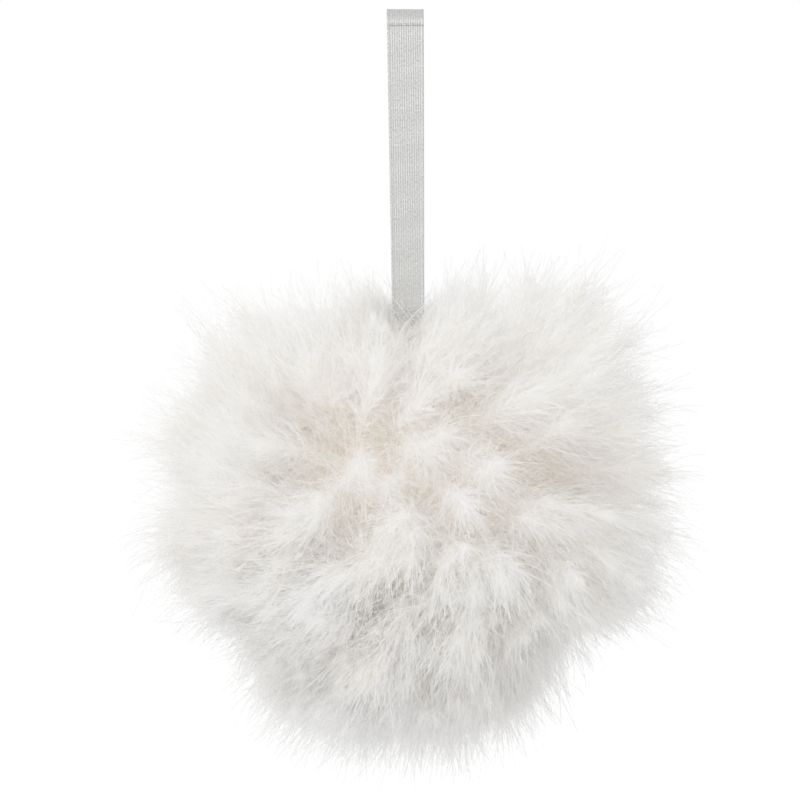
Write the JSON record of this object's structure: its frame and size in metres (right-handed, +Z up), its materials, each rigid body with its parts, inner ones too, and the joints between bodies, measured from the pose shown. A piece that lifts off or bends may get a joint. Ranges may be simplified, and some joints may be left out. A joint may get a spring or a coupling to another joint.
{
  "type": "glass ball ornament with feathers",
  "caption": "Hanging seasonal ornament: a glass ball covered all over in soft downy plumes, with a metal cap and wire eye on a flat woven ribbon loop.",
  "frame": {"origin": "inside of the top of the ribbon loop, where a hook or twig carries it", "axes": "+Z up along the hanging line, X along the ribbon's width, the front faces -Y"},
  "size_m": [0.136, 0.1361, 0.2007],
  "materials": {
    "ribbon": "satin",
    "thread": "matte",
    "wire": "satin",
    "cap": "satin",
    "glass": "satin",
    "plume": "matte"
  },
  "bodies": {
    "ribbon": {"ribbon_loop": "ribbon", "seam_stitches": "thread"},
    "hanger": {"wire_hanger": "wire"},
    "cap": {"metal_cap": "cap"},
    "ball": {"glass_ball": "glass", "plume_crown_01": "plume", "plume_crown_02": "plume", "plume_crown_03": "plume", "plume_crown_04": "plume", "plume_foot_01": "plume", "plume_lower_01": "plume", "plume_lower_02": "plume", "plume_lower_03": "plume", "plume_lower_04": "plume", "plume_lower_05": "plume", "plume_lower_06": "plume", "plume_lower_07": "plume", "plume_lower_08": "plume", "plume_lower_09": "plume", "plume_lower_10": "plume", "plume_shoulder_01": "plume", "plume_shoulder_02": "plume", "plume_shoulder_03": "plume", "plume_shoulder_04": "plume", "plume_shoulder_05": "plume", "plume_shoulder_06": "plume", "plume_shoulder_07": "plume", "plume_shoulder_08": "plume", "plume_shoulder_09": "plume", "plume_shoulder_10": "plume", "plume_shoulder_11": "plume", "plume_shoulder_12": "plume", "plume_skirt_01": "plume", "plume_skirt_02": "plume", "plume_skirt_03": "plume", "plume_skirt_04": "plume", "plume_skirt_05": "plume", "plume_skirt_06": "plume", "plume_upper_01": "plume", "plume_upper_02": "plume", "plume_upper_03": "plume", "plume_upper_04": "plume", "plume_upper_05": "plume", "plume_upper_06": "plume", "plume_upper_07": "plume", "plume_upper_08": "plume", "plume_upper_09": "plume", "plume_waist_01": "plume", "plume_waist_02": "plume", "plume_waist_03": "plume", "plume_waist_04": "plume", "plume_waist_05": "plume", "plume_waist_06": "plume", "plume_waist_07": "plume", "plume_waist_08": "plume", "plume_waist_09": "plume", "plume_waist_10": "plume", "plume_waist_11": "plume", "plume_waist_12": "plume"}
  },
  "joints": [
    {"name": "hanger_swing", "type": "hinge", "parent": "ribbon", "child": "hanger", "pos_m": [0, 0, -0.088], "axis": [1, 0, 0], "range_deg": [-40, 40]},
    {"name": "hanger_tilt", "type": "hinge", "parent": "hanger", "child": "cap", "pos_m": [0, 0, -0.09638], "axis": [1, 0, 0], "range_deg": [-10, 10]},
    {"name": "cap_pull", "type": "slide", "parent": "cap", "child": "ball", "axis": [0, 0, -1], "range_m": [0, 0.012]}
  ]
}
